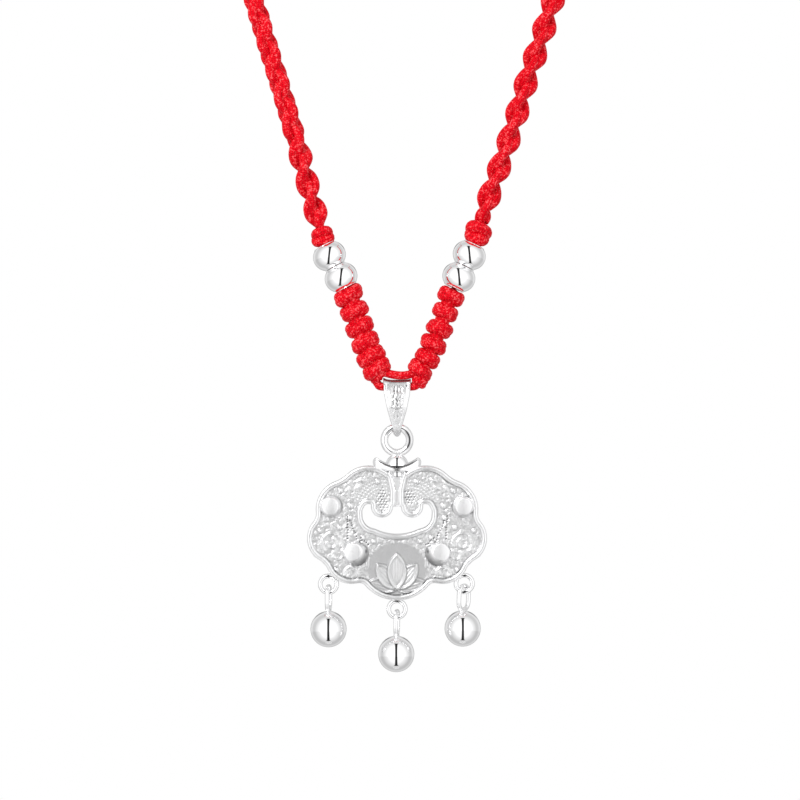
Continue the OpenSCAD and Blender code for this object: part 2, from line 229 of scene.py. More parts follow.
def sweep(build, centres, normal, binormal, radius, sides, closed=False, matt=0.0, groove=0.0):
    """A tube round a curve. Its pattern runs along it in millimetres, and once round it."""
    turn = full_turn(sides)
    ring = np.cos(turn)[None, :, None] * normal[:, None] + np.sin(turn)[None, :, None] * binormal[:, None]
    radius = np.broadcast_to(radius, len(centres))
    points = centres[:, None] + radius[:, None, None] * ring
    rows, columns = grid_faces(len(centres), sides, closed, True)[1:]
    far = lengths(np.vstack([centres, centres[:1]]))
    pattern = np.stack([far[rows], columns / sides], axis=2).reshape(-1, 2)
    if not closed:
        pattern = np.vstack([pattern, np.zeros((2 * sides, 2))])
    build.add(points.reshape(-1, 3), skin(len(centres), sides, closed), pattern, matt, groove)


def sweep_route(build, points, radius, sides):
    sweep(build, points, *frames(points, (0, -1, 0)), radius, sides)


def sweep_loop(build, points, middle, radius, sides, matt=0.0, groove=0.0):
    """A tube round a closed curve that goes about a middle point."""
    tangent = unit(np.roll(points, -1, axis=0) - np.roll(points, 1, axis=0))
    out = points - middle
    normal = unit(out - np.sum(out * tangent, axis=1, keepdims=True) * tangent)
    sweep(build, points, normal, np.cross(tangent, normal), radius, sides, True, matt, groove)


def rounded(radius, s, ends):
    """A radius that closes to a round end over a length."""
    near = np.clip(np.minimum(s, s[-1] - s) / ends, 0, 1)
    return radius * np.sqrt(np.clip(1 - (1 - near) ** 2, 0.02, 1))


def to_chest(points):
    return np.asarray(points, float) + CHEST


def turned(points, degrees, first, second):
    """Points turned from one axis towards another."""
    a = math.radians(degrees)
    points = np.array(points, float)
    p, q = points[:, first].copy(), points[:, second].copy()
    points[:, first] = p * math.cos(a) - q * math.sin(a)
    points[:, second] = p * math.sin(a) + q * math.cos(a)
    return points


def piece(name, build, body, material, nodes, sharp=40):
    """One piece: its mesh and marks, the body it rides on and the CAD nodes it stands for."""
    mesh = bpy.data.meshes.new(name)
    mesh.from_pydata((np.vstack(build.points) * MM).tolist(), [], build.faces)
    layer = mesh.uv_layers.new(name="pattern")
    layer.data.foreach_set("uv", np.concatenate(build.pattern).ravel())
    for mark, values in build.marks.items():
        data = mesh.attributes.new(mark, "FLOAT", "POINT").data
        data.foreach_set("value", np.concatenate(values))
    mesh.materials.append(material)
    mesh.shade_smooth()
    mesh.set_sharp_from_angle(angle=math.radians(sharp))
    mesh.validate()
    obj = bpy.data.objects.new(name, mesh)
    bpy.context.collection.objects.link(obj)
    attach(obj, body)
    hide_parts(*nodes)


# Materials

def is_socket(value):
    return isinstance(value, bpy.types.NodeSocket)


def connect(value, socket):
    if is_socket(value):
        socket.id_data.links.new(value, socket)
    else:
        socket.default_value = value


def calc(operation, *values):
    tree = next(value.id_data for value in values if is_socket(value))
    node = tree.nodes.new("ShaderNodeMath")
    node.operation = operation
    for value, socket in zip(values, node.inputs):
        connect(value, socket)
    return node.outputs[0]


def times(a, b):
    return calc("MULTIPLY", a, b)


def minus(a, b):
    return calc("SUBTRACT", a, b)


def between(value, low, high):
    return calc("MINIMUM", calc("MAXIMUM", value, low), high)


def ramp(value, stops):
    """A value turned into grey by stops of (place, grey)."""
    node = value.id_data.nodes.new("ShaderNodeValToRGB")
    while len(node.color_ramp.elements) < len(stops):
        node.color_ramp.elements.new(1.0)
    for element, (place, grey) in zip(node.color_ramp.elements, stops):
        element.position = place
        element.color = (grey, grey, grey, 1)
    connect(value, node.inputs[0])
    return node.outputs[0]


def mix(factor, first, second):
    node = factor.id_data.nodes.new("ShaderNodeMix")
    node.data_type = "RGBA"
    colours = [s for s in node.inputs if s.type == "RGBA"]
    for value, socket in zip((factor, first, second), (node.inputs[0], *colours)):
        connect(value, socket)
    return [s for s in node.outputs if s.type == "RGBA"][0]


def noise(vector, scale, detail):
    node = vector.id_data.nodes.new("ShaderNodeTexNoise")
    node.inputs["Scale"].default_value = scale
    node.inputs["Detail"].default_value = detail
    connect(vector, node.inputs["Vector"])
    return node.outputs["Fac"]


def bump(height, strength, distance):
    node = height.id_data.nodes.new("ShaderNodeBump")
    node.inputs["Strength"].default_value = strength
    node.inputs["Distance"].default_value = distance
    connect(height, node.inputs["Height"])
    return node.outputs[0]


def new_material(name):
    material = bpy.data.materials.new(name)
    material.use_nodes = True
    nodes = material.node_tree.nodes
    nodes.clear()
    shader = nodes.new("ShaderNodeBsdfPrincipled")
    connect(shader.outputs[0], nodes.new("ShaderNodeOutputMaterial").inputs[0])
    return material, nodes, shader, nodes.new("ShaderNodeTexCoord").outputs["Object"]


SILVER = (0.955, 0.955, 0.96, 1)
SILVER_DULL = (0.8, 0.8, 0.81, 1)
# The dark that tarnish and painted shade mix into the silver
TARNISH_AND_SHADE = (0.02, 0.02, 0.023, 1)
# How much rougher fully matt silver is, and how deep its grain is, in metres
MATT_ROUGH = 0.26
GRAIN_DEPTH = 0.00003


def silver(name, roughness, grain):
    """Polished silver that turns matt, and dark with tarnish and painted shade, where the marks of the
    surface say so.
    """
    material, nodes, shader, place = new_material(name)
    marks = {}
    for mark in ("matt", "groove"):
        node = nodes.new("ShaderNodeAttribute")
        node.attribute_name = mark
        marks[mark] = node.outputs["Fac"]
    handling = noise(place, 900, 4)
    brushed = noise(place, 7000, 2)
    worn = mix(times(handling, 0.08), SILVER, SILVER_DULL)
    connect(mix(marks["groove"], worn, TARNISH_AND_SHADE), shader.inputs["Base Color"])
    shader.inputs["Metallic"].default_value = 1.0
    rough = calc("MULTIPLY_ADD", marks["matt"], MATT_ROUGH, roughness)
    connect(calc("MULTIPLY_ADD", handling, roughness, rough), shader.inputs["Roughness"])
    height = times(brushed, calc("ADD", marks["matt"], 0.03))
    connect(bump(height, grain, GRAIN_DEPTH), shader.inputs["Normal"])
    return material


# The yarn's red; the darker red of the weave's gaps, which is painted shade, and of random patches; the
# pink of painted glints
RED = (0.74, 0.001, 0.01, 1)
DEEP_RED = (0.32, 0.0, 0.003, 1)
GLINT = (1.0, 0.13, 0.14, 1)
# Length of a diamond of the yarn, and how deep the yarn's relief is, in metres
DIAMOND = 0.55
YARN_DEPTH = 0.00012


def nylon(name, round_count):
    """Shiny nylon yarn braided in small diamonds, which lie along and round each strand."""
    material, nodes, shader, place = new_material(name)
    split = nodes.new("ShaderNodeSeparateXYZ")
    connect(nodes.new("ShaderNodeUVMap").outputs[0], split.inputs[0])
    along = times(split.outputs[0], 2 * math.pi / DIAMOND)
    around = times(split.outputs[1], 2 * math.pi * round_count)
    left = calc("SINE", calc("ADD", along, around))
    right = calc("SINE", minus(along, around))
    weave = calc("MULTIPLY_ADD", times(left, right), 0.5, 0.5)
    fuzz = noise(place, 3600, 2)
    patch = noise(place, 1300, 2)
    # Darker red in the weave's gaps is painted shade; the patches vary the tone at random
    shade = calc("MULTIPLY_ADD", weave, 0.6, times(patch, 0.7))
    body = mix(ramp(shade, [(0.22, 0.0), (0.62, 1.0)]), DEEP_RED, RED)
    # Painted glints: pinkish specks scattered over the yarn
    sparkle = ramp(times(fuzz, calc("ADD", patch, 0.55)), [(0.58, 0.0), (0.69, 1.0)])
    connect(mix(times(sparkle, 0.85), body, GLINT), shader.inputs["Base Color"])
    connect(ramp(patch, [(0.3, 0.3), (0.7, 0.55)]), shader.inputs["Roughness"])
    shader.inputs["Sheen Weight"].default_value = 0.02
    shader.inputs["Sheen Tint"].default_value = (1.0, 0.1, 0.12, 1)
    shader.inputs["Specular IOR Level"].default_value = 0.06
    height = calc("MULTIPLY_ADD", fuzz, 0.5, weave)
    connect(bump(height, 0.5, YARN_DEPTH), shader.inputs["Normal"])
    return material


SILVER_LOCK = silver("silver_lock", 0.07, 0.35)
SILVER_BAIL = silver("silver_bail", 0.15, 0.35)
SILVER_DROP = silver("silver_drop", 0.02, 0.1)
SILVER_BEAD = silver("silver_bead", 0.025, 0.1)
NYLON_BRAID = nylon("red_braid", 5)
NYLON_KNOT = nylon("red_knots", 6)
NYLON_STRAND = nylon("red_strand", 5)


def pale_floor():
    material, _, shader, place = new_material("pale_floor")
    shade = times(noise(place, 40, 2), 0.04)
    connect(mix(shade, (0.9, 0.9, 0.9, 1), (0.8, 0.8, 0.8, 1)), shader.inputs["Base Color"])
    shader.inputs["Roughness"].default_value = 0.9
    return material


# Cord pieces

def add_braid(name, route, first_bulge, most_turn, nodes):
    """Four strands in two pairs. Each pair swaps sides while the other lies outside it."""
    points, s = even(smooth(route, 12), BRAID_STEP)
    across, depth = frames(points, (1, 0, 0))
    turn_share = np.clip((s - TURN_START) / TURN_LENGTH, 0, 1)
    turn = turn_share * most_turn
    side = np.cos(turn)[:, None] * across + np.sin(turn)[:, None] * depth
    deep = np.cos(turn)[:, None] * depth - np.sin(turn)[:, None] * across
    phase = np.pi * (s - first_bulge) / BRAID_PITCH
    # The strands gather into the knots at both ends
    spread = GATHER + (1 - GATHER) * np.clip(np.minimum(s, s[-1] - s) / GATHER_LENGTH, 0, 1)
    share = turn_share if most_turn else 0 * s
    build = Build()
    for sign in (-1, 1):
        for wide, swing in ((True, phase), (False, phase - np.pi / 2)):
            far = sign * BRAID_SPREAD * np.cos(swing) * spread
            near = sign * np.sin(swing) * spread * (1 - TURN_FLAT * share)
            if wide:
                path = points + far[:, None] * side + (near * STRAND_R)[:, None] * deep
            else:
                path = points + far[:, None] * deep - (near * BRAID_TUCK)[:, None] * side
            radius = STRAND_R * (1 + TURN_FULL * share + 0.05 * np.sin(2.7 * s + 3 * sign + 2 * wide))
            sweep_route(build, to_chest(path), radius, BRAID_SIDES)
    piece(name, build, "necklace", NYLON_BRAID, nodes)


def add_wraps(build, low, high, half_width, half_depth, apart, strand_r, spread, tilt, rng):
    """One knot: two turns of strand round the run, which part where the pattern says."""
    low, high = np.array(low, float), np.array(high, float)
    axis = unit(high - low)
    side = unit(np.cross([0.0, -1.0, 0.0], axis))
    side = side if side[0] >= 0 else -side
    deep = np.cross(axis, side)
    middle = (low + high) / 2
    turn = full_turn(44)
    for sign in (-1, 1):
        lift = sign * spread * apart(turn) + tilt * np.cos(turn) + rng.uniform(-0.06, 0.06)
        wide = half_width - strand_r + rng.uniform(-0.07, 0.07)
        # One turn lies over the other in front
        deep_r = half_depth - strand_r + 0.12 * sign
        wobble = 1 + 0.02 * np.sin(3 * turn + rng.uniform(0, 6))
        path = (middle + lift[:, None] * axis + (wide * wobble * np.cos(turn))[:, None] * side
                + (deep_r * wobble * np.sin(turn))[:, None] * deep)
        fat = strand_r * (1 + 0.06 * np.sin(2 * turn + rng.uniform(0, 6)))
        sweep_loop(build, to_chest(path), to_chest(middle), fat, 14)


def meet_both(turn):
    return 0.5 + 0.5 * np.abs(np.sin(turn)) ** 0.8


def cross_over(turn):
    return np.cos(turn)


# Runs of knots: name, node, ends, half width, half depth, how the turns of a knot part, radius of
# the strand, half the distance between the turns, radius of the core, tilt, last turn by the bail
KNOT_RUNS = [
    ["knot_run_left", "knots_left", KNOTS_LEFT, 2.3, 2.05, cross_over, 0.96, 0.3, 1.45, 0.15, TAIL_LEFT],
    ["knot_run_right", "knots_right", KNOTS_RIGHT, 2.08, 2, cross_over, 0.88, 0.3, 1.2, -0.1, TAIL_RIGHT],
    ["small_knot_left", "upper_knot_left", UPPER_LEFT, 1.75, 1.7, meet_both, 0.85, 0.7, 1.0, 0.1, None],
    ["small_knot_right", "upper_knot_right", UPPER_RIGHT, 2.1, 2, meet_both, 1, 0.85, 1.3, -0.1, None],
    ["nape_knot", "closing_knot", CLOSING, 2.5, 2.5, meet_both, 0.9, 0.7, 1.7, 0, None],
]


# What the bail's top sweeps as it swings, with a little room: half width, then radius left and right
SWEPT_HALF = 2.28
SWEPT_R = [1.62, 1.34]


def press_off_bail(build):
    """Moves the surface of the knots sideways out of what the bail's top sweeps."""
    for points in build.points:
        x, y, up = (points - CHEST).T
        inside = (np.abs(x) < SWEPT_HALF) & (np.hypot(y, up) < np.where(x < 0, *SWEPT_R))
        points[inside, 0] = CHEST[0] + SWEPT_HALF * np.sign(x[inside])


def add_knots(name, node, ends, half_width, half_depth, apart, strand_r, spread, core_r, tilt, tail, rng):
    build = Build()
    for low, high in zip(ends[1:], ends[:-1]):
        if low[2] > high[2]:
            low, high = high, low
        add_wraps(build, low, high, half_width, half_depth, apart, strand_r, spread, tilt, rng)
    if tail:
        add_wraps(build, *tail, tail[2] * 0.9, apart, TAIL_STRAND_R, 0.3, 0.0, rng)
    points, s = even(smooth(ends, 8), 0.35)
    sweep_route(build, to_chest(points), rounded(core_r, s, 0.5), 14)
    press_off_bail(build)
    piece(name, build, "necklace", NYLON_KNOT, [node])


def add_strand(name, route, radius, node):
    points, s = even(smooth(route, 8), 0.15)
    build = Build()
    sweep_route(build, to_chest(points), rounded(radius, s, 0.3), 16)
    piece(name, build, "necklace", NYLON_STRAND, [node])


def on_thread(i, points):
    """Points measured along a bead thread, put in its place."""
    across, up, tilt = THREADS[i]
    return to_chest(turned(points, tilt, 2, 0) + [across, 0, up])


def add_cords():
    rng = np.random.default_rng(SEED)
    add_braid("braid_left", BRAID_LEFT, BULGE_LEFT, LEFT_TURN, ["braid_left_front", "braid_left_nape"])
    add_braid("braid_right", BRAID_RIGHT, BULGE_RIGHT, 0.0, ["braid_right_front", "braid_right_nape"])
    for row in KNOT_RUNS:
        add_knots(*row, rng)
    add_strand("strand_in_bail", BAIL_CORD, BAIL_CORD_R, "bail_cord")
    add_strand("strand_over_bail", BRIDGE_CORD, BRIDGE_CORD_R, "bridge_cord")
    for i, side in enumerate(("left", "right")):
        build = Build()
        half = BEAD_LEN + BEAD_GAP - 0.02
        line, s = even(np.array([[0, 0, -half], [0, 0, half]], float), 0.3)
        sweep_route(build, on_thread(i, line), rounded(THREAD_R, s, 0.2), 16)
        piece("cord_in_beads_" + side, build, "necklace", NYLON_STRAND, ["thread_" + side])


add_cords()


# Beads and drops

def lathe(build, outline, sides, place):
    """A closed outline of (radius, height) turned round the upright axis."""
    turn = full_turn(sides)
    r, z = np.array(outline, float).T[:, :, None]
    points = places(r * np.cos(turn), r * np.sin(turn), z)
    build.add(place(points.reshape(-1, 3)), skin(len(r), sides, True, True))


def arc(across, up, radius, first, last, steps):
    turn = np.radians(np.linspace(first, last, steps))
    return np.stack([across + radius * np.cos(turn), up + radius * np.sin(turn)], axis=1)


def bead_outline():
    """The rounded side, flat rims with softened edges, and the bore."""
    half = BEAD_LEN / 2
    side_r = 1.12 * half
    middle = BEAD_R - side_r
    last = math.degrees(math.asin((half - 0.12) / side_r))
    side = arc(middle, 0, side_r, -last, last, 40)
    edge_r = side[-1][0] - 0.1
    top = arc(edge_r, half - 0.12, 0.12, 20, 90, 6)
    bore_top = arc(BEAD_BORE_R + 0.1, half - 0.1, 0.1, 90, 180, 6)
    upper = np.vstack([top, bore_top])
    return np.vstack([side, upper, upper[::-1] * [1, -1]])


def add_bead(i, side, level, sign):
    build = Build()
    shift = sign * (BEAD_LEN + BEAD_GAP) / 2
    lathe(build, bead_outline(), 96, lambda p: on_thread(i, p + [0, 0, shift]))
    node = "bead_%s_%s" % (side, level)
    piece("polished_" + node, build, "necklace", SILVER_BEAD, [node])


def wire_loop(width, height, wire):
    """Points of an upright oval loop whose top is at the origin, and its middle."""
    a = (width - wire) / 2
    b = (height - wire) / 2
    straight = b - a
    top = arc(0, -wire / 2 - a, a, 0, 180, 25)
    bottom = arc(0, -wire / 2 - a - 2 * straight, a, 180, 360, 25)
    ring = np.vstack([top, bottom])
    return places(ring[:, 0], 0, ring[:, 1]), [0, 0, -height / 2]


def add_drop(name, across, up, turn, lean):
    hang = [across, 0, PLATE_Z + up]
    loop_top = -EYELET_D / 2 + EYELET_WIRE + LOOP_WIRE + LINK_GAP
    loop_h = DROP_LEN - BALL_R + loop_top + SOLDER

    def place(points):
        return to_chest(turned(points, -lean, 2, 0) + hang)

    build = Build()
    points, middle = wire_loop(LOOP_W, loop_h, LOOP_WIRE)
    top = [0, 0, loop_top]
    sweep_loop(build, place(turned(points, turn, 0, 1) + top), place([np.add(middle, top)])[0],
               LOOP_WIRE / 2, 20)
    lathe(build, arc(0, -DROP_LEN, BALL_R, -89.9, 89.9, 65), 96, place)
    neck_z = BALL_R - DROP_LEN
    neck = [[0.02, neck_z - 0.2], [0.6, neck_z - 0.2], [0.54, neck_z - 0.03], [0.44, neck_z + 0.06],
            [0.3, neck_z + 0.1], [0.02, neck_z + 0.12]]
    lathe(build, neck, 32, place)
    piece("ball_drop_" + name, build, "pendant", SILVER_DROP, ["drop_" + name])


for bead_thread, bead_side in enumerate(("left", "right")):
    add_bead(bead_thread, bead_side, "low", -1)
    add_bead(bead_thread, bead_side, "top", 1)
for drop_row in DROPS:
    add_drop(*drop_row)


# Lock plate, as a surface of heights over its outline

LOCK_T = 2.4
RIM_W = 0.8
RIM_H = 0.45
RIM_MATT = 0.8
GROUND = LOCK_T - RIM_H
# How tarnished the patterned ground is all over, and how much more so the flower's panel is
GROUND_SHADE = 0.15
PANEL_SHADE = 0.15
# The panel's oval: middle up, half width, half height
PANEL = [-4.9, 4.75, 4.1]
# Spacing of the points of the plate's front
CELL = 0.1
NOTCH_SOFT = 0.9
BACK_BEVEL = 0.25
BACK_MATT = 0.7
# The plate's outline, cut-out and curls: across, up, radius
LOBES = [[4.4, 6.2, 4.85], [7.95, 4.3, 4.6], [10, -0.15, 3.9], [7, -3.05, 4.15], [0, -3.45, 6.3]]
HORNS = [[4.5, 4.5, 0.62], [4.3, 3.95, 1.05], [3.4, 3.25, 1.95]]
BELLY_UP = 8.25
BELLY_R = 7.8
CURL = [2.32, 4.75, 1.7]
# The foot of the sunk web between the curls, and its half width at heights on the plate
WEB_FOOT = 4.75
WEB = [[4.7, 0.4], [5.3, 0.3], [7.1, 0.27], [8.3, 0.5], [9.1, 0.69], [9.9, 1.0], [10.3, 1.1]]
# The metal between the two top lobes: half width, foot, head
FUNNEL = [1.3, 7.0, 10.2]
# Heights and depths of the cast pattern
BOSS_H = 0.3
SCROLL_H = 0.2
CRESCENT_H = 0.26
BORDER_H = 0.28
PETAL_H = 0.27
RIB_H = 0.1
CURL_H = 0.085
DOT_H = 0.05
PIT_DEEP = 0.2
SCALE_DEEP = 0.09
# Bosses: across, up, radius. Scrolls: across, up, radius, first angle, last angle
BOSSES =[[7.2, 4.85, 0.45], [7.4, 2.95, 0.45], [8.9, 1.5, 0.4], [5.3, -0.1, 0.4], [3.6, -0.65, 0.35],
          [8.7, 7.2, 0.4], [11.9, 1, 0.35], [9.4, -5.1, 0.4], [3, 8.6, 0.4]]
SCROLLS = [[10.1, -0.9, 1.5, -60, 210], [10.1, -0.9, 0.7, 90, 380], [7.1, -5.6, 1, -30, 200],
           [9.1, -2.6, 0.8, 120, 400], [7.6, 1, 0.8, 10, 250]]
# Crescent strokes on the shoulders: across, up, radius, first angle, last angle
CRESCENTS = [[4.6, 4.9, 4.55, 38, 62], [4.2, 4.9, 4.2, 58, 82], [4.6, 4.9, 3.9, 30, 52],
             [4.4, 4.9, 3.3, 44, 72]]
# Petals, which all start at the flower's foot: lean, length, width
PETALS = [[0, 5.6, 2.9], [38, 5.1, 2.6], [74, 4.6, 2.2]]
FLOWER_UP = -8.1
# Raised studs: across, up, foot radius, top's shift across and up, top radius, height, how dark the painted
# shade on its inner side wall is
STUDS = [[10.2, 4.75, 1.7, 0.12, 0.1, 1.2, 0.95, 0.2], [6.35, -2.6, 1.9, 0.5, 0.42, 1.25, 1.05, 0.85]]
# Painted shadow beside each lower stud: across, up, half width, half height, how dark
STUD_SHADOW = [4.75, -2.15, 0.2, 0.45, 0.9]
# Distance between the rows of scales on the curls
SCALE_ROW = 0.54
# Patches of dark pits on the left and right curl: side, middle across and up, half sizes
PIT_PATCHES = [[-1, 2.3, 5.85, 0.95, 1.9], [1, 1.75, 6.15, 1.05, 1.25]]
PIT_PITCH = [0.5, 0.43]
# Distance between the small curls of the ground
CURL_PITCH = 0.8
# Raised borders of the flower's panel: points across and up
PANEL_EDGE = [[5.5, -1.3], [5.0, -2.2], [4.75, -3.2], [4.7, -4.4]]
# Rows of punched pits: first point, last point, count
PITS = [[5.6, -0.1, 4.5, -1.2, 5], [6.2, -0.3, 5.0, -1.5, 4], [7.7, 3.2, 7.6, -0.2, 9],
        [7.3, 2.6, 6.3, 0.2, 7]]


def soft_min(a, b, soft):
    h = np.clip(0.5 + 0.5 * (b - a) / soft, 0, 1)
    return b * (1 - h) + a * h - soft * h * (1 - h)


def circle(x, up, row):
    return np.hypot(x - row[0], up - row[1]) - row[2]


def plate_field(x, up):
    """How far a point lies outside the plate's outline."""
    x = np.abs(x)
    field = circle(x, up, LOBES[0])
    for row in LOBES[1:]:
        field = soft_min(field, circle(x, up, row), NOTCH_SOFT)
    half, foot, head = FUNNEL
    return np.minimum(field, np.maximum(x - half, np.maximum(up - head, foot - up)))


def cut_field(x, up):
    """How far a point lies outside the cut-out."""
    x = np.abs(x)
    field = np.minimum(circle(x, up, HORNS[0]), circle(x, up, HORNS[1]))
    field = soft_min(field, circle(x, up, HORNS[2]), 0.3)
    belly = np.maximum(circle(x, up, [0, BELLY_UP, BELLY_R]), np.maximum(x - HORNS[1][0], up - HORNS[2][1]))
    middle = np.maximum(x - CURL[0], up - CURL[1])
    middle = np.maximum(middle, HORNS[2][1] - 0.2 - up)
    field = soft_min(field, soft_min(belly, middle, 0.05), 0.15)
    return np.maximum(field, -circle(x, up, CURL))


def metal_field(x, up):
    return np.maximum(plate_field(x, up), -cut_field(x, up))


def slope(field, x, up):
    e = 0.01
    across = (field(x + e, up) - field(x - e, up)) / (2 * e)
    along = (field(x, up + e) - field(x, up - e)) / (2 * e)
    size = np.maximum(np.hypot(across, along), 0.3)
    return across / size, along / size


def ridge(away, half_width):
    return np.exp(-(away / half_width) ** 2)


def step(value, first, last):
    t = np.clip((value - first) / (last - first), 0, 1)
    return t * t * (3 - 2 * t)


def arc_ridge(x, up, row, half_width):
    """A ridge along an arc given by across, up, radius and two angles."""
    turn = np.degrees(np.arctan2(up - row[1], x - row[0]))
    span = (turn - row[3]) % 360
    reach = row[4] - row[3]
    fade = step(span, 0, 12) * step(reach - span, 0, 12) if reach < 360 else 1
    return ridge(np.hypot(x - row[0], up - row[1]) - row[2], half_width) * fade


def line_distance(x, up, points):
    best = np.full(x.shape, 99.0)
    for a, b in zip(points[:-1], points[1:]):
        a, b = np.array(a, float), np.array(b, float)
        t = ((x - a[0]) * (b - a)[0] + (up - a[1]) * (b - a)[1]) / ((b - a) @ (b - a))
        t = np.clip(t, 0, 1)
        best = np.minimum(best, np.hypot(x - a[0] - t * (b - a)[0], up - a[1] - t * (b - a)[1]))
    return best


def petal_field(x, up, turn, length, width):
    """How far a point lies outside a petal, and its place across and along the petal."""
    a = math.radians(turn)
    px = x * math.cos(a) - (up - FLOWER_UP) * math.sin(a)
    py = x * math.sin(a) + (up - FLOWER_UP) * math.cos(a) - length / 2
    r = (length * length + width * width) / (4 * width)
    return np.hypot(np.abs(px) + r - width / 2, py) - r, px, py


def stud_height(x, up, row):
    """How far up a stud a point lies, from 0 off it to 1 on its top, which is off its foot's middle."""
    best = np.zeros(x.shape)
    for t in np.linspace(0.02, 1, 40):
        radius = row[2] + (row[5] - row[2]) * t
        inside = np.hypot(x - row[0] - row[3] * t, up - row[1] - row[4] * t) <= radius
        best = np.where(inside, t, best)
    return best


def lock_relief(x, up, edge, rng):
    """Heights over the plate's back, and where it is matt, tarnished and painted with shade."""
    x_side = np.abs(x)
    web_half = np.interp(up, *np.array(WEB).T)
    web = np.where(up > WEB_FOOT, x_side - web_half, 99.0)
    edge = np.where(web > 0, np.minimum(edge, web), edge)
    t = np.clip(edge / RIM_W, 0, 1)
    rim = RIM_H * np.sqrt(np.clip(1 - np.abs(2 * t - 1) ** 3.6, 0, 1))
    ground = step(edge, RIM_W - 0.05, RIM_W + 0.2)

    panel = step(1 - np.hypot(x / PANEL[1], (up - PANEL[0]) / PANEL[2]), -0.02, 0.06)
    curl_r = np.hypot(x_side - CURL[0], up - CURL[1])
    curl_turn = np.arctan2(up - CURL[1], x_side - CURL[0])
    row = np.floor(curl_r / SCALE_ROW)
    around = np.maximum(6, np.round(2 * np.pi * (row + 0.5) * SCALE_ROW / 0.5))
    scale = (np.clip(-np.cos(2 * np.pi * curl_r / SCALE_ROW), 0, 1)
             * np.clip(np.cos(around * curl_turn + row * np.pi), 0, 1))
    scaled = np.maximum(step(1.9 - curl_r, 0, 0.5), step(4.7 - curl_r, 0, 0.6) * step(up, 4.9, 6.2))
    sunk = SCALE_DEEP * scale * scaled
    height = np.zeros(x.shape)
    groove = 0.2 * scale * scaled
    for side, middle_x, middle_up, half_x, half_up in PIT_PATCHES:
        for i in range(-3, 4):
            for k in range(-5, 6):
                pit_x = (i + 0.5 * (k % 2)) * PIT_PITCH[0] + rng.uniform(-0.05, 0.05)
                pit_up = k * PIT_PITCH[1] + rng.uniform(-0.05, 0.05)
                away = math.hypot(pit_x / half_x, pit_up / half_up)
                if away < 1:
                    pit = ridge(np.hypot(side * x - middle_x - pit_x, up - middle_up - pit_up), 0.14)
                    sunk = np.maximum(sunk, PIT_DEEP * pit)
                    groove = np.maximum(groove, (1 - 0.45 * away) * pit)

    plain = np.maximum(panel, scaled)
    for mirror in (-1, 1):
        for boss in BOSSES:
            far = np.hypot(mirror * x - boss[0], up - boss[1])
            bead = np.sqrt(np.clip(1 - (far / boss[2]) ** 2, 0, 1))
            height = np.maximum(height, BOSS_H * bead)
            groove = np.maximum(groove, 0.3 * ridge(far - boss[2] - 0.1, 0.09) * (1 - panel))
            plain = np.maximum(plain, step(boss[2] + 0.35 - far, 0, 0.2))
        for scroll in SCROLLS:
            height = np.maximum(height, SCROLL_H * arc_ridge(mirror * x, up, scroll, 0.15))
        for crescent in CRESCENTS:
            line = arc_ridge(mirror * x, up, crescent, 0.17)
            height = np.maximum(height, CRESCENT_H * line)
            plain = np.maximum(plain, line)
        for first_x, first_up, last_x, last_up, count in PITS:
            for along in np.linspace(0, 1, count):
                off = rng.uniform(-0.08, 0.08, 2)
                far = np.hypot(mirror * x - first_x - (last_x - first_x) * along - off[0],
                               up - first_up - (last_up - first_up) * along - off[1])
                pit = ridge(far, 0.13)
                sunk = np.maximum(sunk, PIT_DEEP * pit)
                groove = np.maximum(groove, pit)
        border = line_distance(mirror * x, up, PANEL_EDGE)
        height = np.maximum(height, BORDER_H * ridge(border, 0.2))

    # Small curls and dots all over the rest of the ground
    curls = np.zeros(x.shape)
    dots = np.zeros(x.shape)
    for i in np.arange(-18, 19):
        for k in np.arange(-15, 16):
            cx = (i + 0.5 * (k % 2)) * CURL_PITCH + rng.uniform(-0.2, 0.2)
            cy = k * 0.87 * CURL_PITCH + rng.uniform(-0.18, 0.18)
            radius = rng.uniform(0.2, 0.36)
            first = rng.uniform(0, 360)
            window = (np.abs(x - cx) < 0.7) & (np.abs(up - cy) < 0.7)
            if not window.any():
                continue
            wx, wy = x[window], up[window]
            curl = arc_ridge(wx, wy, [cx, cy, radius, first, first + 250], 0.1)
            curls[window] = np.maximum(curls[window], curl * rng.uniform(0.5, 1))
            dots[window] = np.maximum(dots[window], ridge(np.hypot(wx - cx, wy - cy), 0.09))
    height = height + (CURL_H * curls + DOT_H * dots) * (1 - plain)
    groove = np.maximum(groove, 0.13 * (1 - np.clip(1.6 * curls + 1.2 * dots, 0, 1)) * (1 - plain))

    # The flower on its plain panel
    hidden = np.zeros(x.shape, bool)
    for turn, length, width in PETALS:
        left, right = [petal_field(mirror * x, up, turn, length, width) for mirror in (-1, 1)]
        field, px, py = np.where(left[0] < right[0], left, right)
        outline = ridge(field + 0.17, 0.16)
        ribs = np.clip(-field / 0.6 - 0.4, 0, 1) * (0.5 + 0.5 * np.cos(2 * np.pi * px / 0.42))
        ribs = ribs * step(py, -length / 2, 0)
        shown = ~hidden
        height = np.where(shown, np.maximum(height, PETAL_H * outline), height)
        height = np.where(shown & (field < 0), np.maximum(height, RIB_H * ribs), height)
        # A painted shadow just outside each petal's raised outline
        groove = np.where(shown, np.maximum(groove, 0.4 * ridge(field - 0.1, 0.09)), groove)
        hidden = hidden | (field < 0.05)

    height = height - sunk + 0.006 * rng.standard_normal(x.shape)
    surface = GROUND + np.where(edge < RIM_W, rim, height * ground)
    matt = RIM_MATT + ground * (0.2 - 0.2 * step(height, 0.15, 0.24))
    dull = (GROUND_SHADE + PANEL_SHADE * panel) * (1 - 0.6 * step(height, 0.06, 0.2))
    # A painted shade line inside the rim, darkest along the bottom and at the upper right
    line = 0.22 + 0.5 * step(-up, 1.5, 5) + 0.3 * step(x, 3, 6) * step(up, 2, 5)
    groove = (groove + dull) * ground + line * ridge(edge - RIM_W - 0.04, 0.1)

